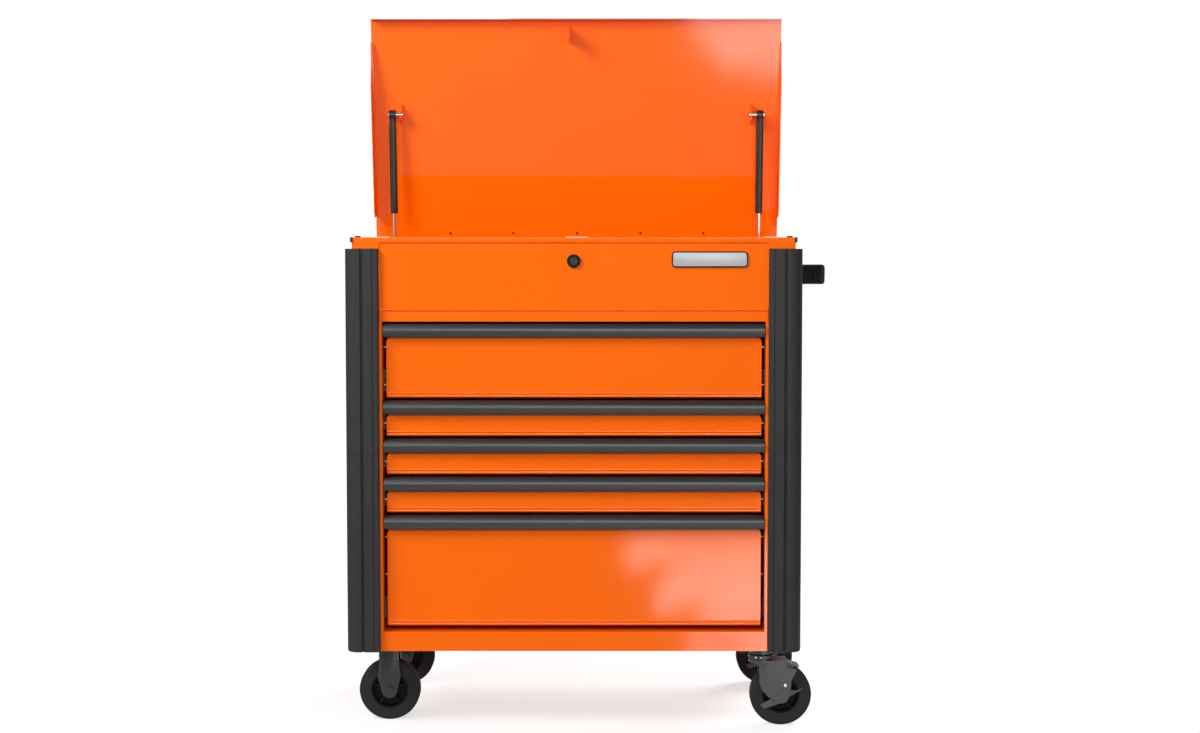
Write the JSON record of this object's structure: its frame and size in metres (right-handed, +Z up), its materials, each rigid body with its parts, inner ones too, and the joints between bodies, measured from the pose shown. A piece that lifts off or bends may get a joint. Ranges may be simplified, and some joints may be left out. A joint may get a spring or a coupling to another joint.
{
  "type": "rolling service cart",
  "caption": "Steel service cart on casters with a bank of full-width drawers, a top well under a gas-strut lid, corner bumpers and a side push handle.",
  "frame": {"origin": "on the floor under the middle of the cart's overall box, lid raised and drawers shut", "axes": "+Z up; +Y from the drawer fronts to the back; +X towards the push handle"},
  "size_m": [0.969, 0.512, 1.4775],
  "materials": {
    "orange_paint": "gloss",
    "bumper_plastic": "satin",
    "handle_plastic": "satin",
    "pull_black": "black anodised, satin",
    "lock_black": "satin",
    "pad_rubber": "matte",
    "bright_steel": "bright",
    "zinc_steel": "zinc plated",
    "strut_black": "satin",
    "fork_black": "satin",
    "fork_grey": "satin",
    "brake_grey": "satin",
    "tyre_black": "matte",
    "core_black": "satin"
  },
  "bodies": {
    "cabinet": {"left_side_panel": "orange_paint", "right_side_panel": "orange_paint", "back_panel": "orange_paint", "base_pan": "orange_paint", "front_fascia": "orange_paint", "well_floor": "orange_paint", "front_bumpers": "bumper_plastic", "rear_bumpers": "bumper_plastic", "push_handle": "handle_plastic", "lock_housing": "lock_black", "lid_pads": "pad_rubber", "hinge_cabinet_leaves": "orange_paint", "hinge_pins": "bright_steel", "strut_cabinet_brackets": "bright_steel", "slide_outer_members": "zinc_steel", "rigid_forks": "fork_black", "swivel_plates": "fork_black", "fixing_bolts": "bright_steel"},
    "lid": {"lid": "orange_paint", "hinge_lid_leaves": "orange_paint", "lid_brackets": "orange_paint", "strut_lid_studs": "bright_steel"},
    "strut_cylinder_left": {"strut_cylinder_left": "strut_black"},
    "strut_cylinder_right": {"strut_cylinder_right": "strut_black"},
    "strut_rod_left": {"strut_rod_left": "bright_steel"},
    "strut_rod_right": {"strut_rod_right": "bright_steel"},
    "lock_plug": {"lock_plug": "bright_steel"},
    "drawer_1": {"drawer_1_tray": "orange_paint", "drawer_1_pull": "pull_black", "drawer_1_runners": "zinc_steel"},
    "slide_1_middle": {"slide_1_middle": "zinc_steel"},
    "drawer_2": {"drawer_2_tray": "orange_paint", "drawer_2_pull": "pull_black", "drawer_2_runners": "zinc_steel"},
    "slide_2_middle": {"slide_2_middle": "zinc_steel"},
    "drawer_3": {"drawer_3_tray": "orange_paint", "drawer_3_pull": "pull_black", "drawer_3_runners": "zinc_steel"},
    "slide_3_middle": {"slide_3_middle": "zinc_steel"},
    "drawer_4": {"drawer_4_tray": "orange_paint", "drawer_4_pull": "pull_black", "drawer_4_runners": "zinc_steel"},
    "slide_4_middle": {"slide_4_middle": "zinc_steel"},
    "drawer_5": {"drawer_5_tray": "orange_paint", "drawer_5_pull": "pull_black", "drawer_5_runners": "zinc_steel"},
    "slide_5_middle": {"slide_5_middle": "zinc_steel"},
    "front_left_wheel": {"front_left_tyre": "tyre_black", "front_left_wheel_core": "core_black"},
    "rear_left_wheel": {"rear_left_tyre": "tyre_black", "rear_left_wheel_core": "core_black"},
    "front_swivel": {"front_swivel_fork": "fork_grey"},
    "front_right_wheel": {"front_right_tyre": "tyre_black", "front_right_wheel_core": "core_black"},
    "front_brake": {"front_brake_pedal": "brake_grey"},
    "rear_swivel": {"rear_swivel_fork": "fork_grey"},
    "rear_right_wheel": {"rear_right_tyre": "tyre_black", "rear_right_wheel_core": "core_black"},
    "rear_brake": {"rear_brake_pedal": "brake_grey"}
  },
  "joints": [
    {"name": "lid_hinge", "type": "hinge", "parent": "cabinet", "child": "lid", "pos_m": [0, 0.239, 0.998], "axis": [1, 0, 0], "range_deg": [0, 79.7]},
    {"name": "strut_pivot_left", "type": "hinge", "parent": "lid", "child": "strut_cylinder_left", "pos_m": [-0.432, 0.16532, 1.2692], "axis": [1, 0, 0], "range_deg": [-6.82, 0.05]},
    {"name": "strut_slide_left", "type": "slide", "parent": "strut_cylinder_left", "child": "strut_rod_left", "axis": [0, -0.122, 0.9925], "range_m": [-0.0005, 0.0904]},
    {"name": "strut_pivot_right", "type": "hinge", "parent": "lid", "child": "strut_cylinder_right", "pos_m": [0.378, 0.16532, 1.2692], "axis": [1, 0, 0], "range_deg": [-6.82, 0.05]},
    {"name": "strut_slide_right", "type": "slide", "parent": "strut_cylinder_right", "child": "strut_rod_right", "axis": [0, -0.122, 0.9925], "range_m": [-0.0005, 0.0904]},
    {"name": "lock_turn", "type": "hinge", "parent": "cabinet", "child": "lock_plug", "pos_m": [-0.027, -0.241, 0.9458], "axis": [0, 1, 0], "range_deg": [0, 90]},
    {"name": "drawer_1_slide", "type": "slide", "parent": "cabinet", "child": "drawer_1", "axis": [0, -1, 0], "range_m": [0, 0.4]},
    {"name": "slide_1_run", "type": "slide", "parent": "cabinet", "child": "slide_1_middle", "axis": [0, -1, 0], "range_m": [0, 0.2]},
    {"name": "drawer_2_slide", "type": "slide", "parent": "cabinet", "child": "drawer_2", "axis": [0, -1, 0], "range_m": [0, 0.4]},
    {"name": "slide_2_run", "type": "slide", "parent": "cabinet", "child": "slide_2_middle", "axis": [0, -1, 0], "range_m": [0, 0.2]},
    {"name": "drawer_3_slide", "type": "slide", "parent": "cabinet", "child": "drawer_3", "axis": [0, -1, 0], "range_m": [0, 0.4]},
    {"name": "slide_3_run", "type": "slide", "parent": "cabinet", "child": "slide_3_middle", "axis": [0, -1, 0], "range_m": [0, 0.2]},
    {"name": "drawer_4_slide", "type": "slide", "parent": "cabinet", "child": "drawer_4", "axis": [0, -1, 0], "range_m": [0, 0.4]},
    {"name": "slide_4_run", "type": "slide", "parent": "cabinet", "child": "slide_4_middle", "axis": [0, -1, 0], "range_m": [0, 0.2]},
    {"name": "drawer_5_slide", "type": "slide", "parent": "cabinet", "child": "drawer_5", "axis": [0, -1, 0], "range_m": [0, 0.4]},
    {"name": "slide_5_run", "type": "slide", "parent": "cabinet", "child": "slide_5_middle", "axis": [0, -1, 0], "range_m": [0, 0.2]},
    {"name": "front_left_wheel_spin", "type": "hinge", "parent": "cabinet", "child": "front_left_wheel", "pos_m": [-0.409, -0.141, 0.0625], "axis": [0, 1, 0], "continuous": true},
    {"name": "rear_left_wheel_spin", "type": "hinge", "parent": "cabinet", "child": "rear_left_wheel", "pos_m": [-0.409, 0.189, 0.0625], "axis": [0, 1, 0], "continuous": true},
    {"name": "front_swivel_turn", "type": "hinge", "parent": "cabinet", "child": "front_swivel", "pos_m": [0.355, -0.187, 0.14], "axis": [0, 0, 1], "continuous": true},
    {"name": "front_right_wheel_spin", "type": "hinge", "parent": "front_swivel", "child": "front_right_wheel", "pos_m": [0.394, -0.187, 0.0625], "axis": [0, 1, 0], "continuous": true},
    {"name": "front_brake_press", "type": "hinge", "parent": "front_swivel", "child": "front_brake", "pos_m": [0.402, -0.187, 0.0845], "axis": [0, 1, 0], "range_deg": [0, 10]},
    {"name": "rear_swivel_turn", "type": "hinge", "parent": "cabinet", "child": "rear_swivel", "pos_m": [0.355, 0.189, 0.14], "axis": [0, 0, 1], "continuous": true},
    {"name": "rear_right_wheel_spin", "type": "hinge", "parent": "rear_swivel", "child": "rear_right_wheel", "pos_m": [0.394, 0.189, 0.0625], "axis": [0, 1, 0], "continuous": true},
    {"name": "rear_brake_press", "type": "hinge", "parent": "rear_swivel", "child": "rear_brake", "pos_m": [0.402, 0.189, 0.0845], "axis": [0, 1, 0], "range_deg": [0, 10]}
  ],
  "couplings": [
    {"joint": "strut_pivot_left", "follows": "lid_hinge", "ratio": -0.084889},
    {"joint": "strut_slide_left", "follows": "lid_hinge", "m_per_rad": 0.06461},
    {"joint": "strut_pivot_right", "follows": "lid_hinge", "ratio": -0.084889},
    {"joint": "strut_slide_right", "follows": "lid_hinge", "m_per_rad": 0.06461},
    {"joint": "slide_1_run", "follows": "drawer_1_slide", "ratio": 0.5},
    {"joint": "slide_2_run", "follows": "drawer_2_slide", "ratio": 0.5},
    {"joint": "slide_3_run", "follows": "drawer_3_slide", "ratio": 0.5},
    {"joint": "slide_4_run", "follows": "drawer_4_slide", "ratio": 0.5},
    {"joint": "slide_5_run", "follows": "drawer_5_slide", "ratio": 0.5}
  ]
}
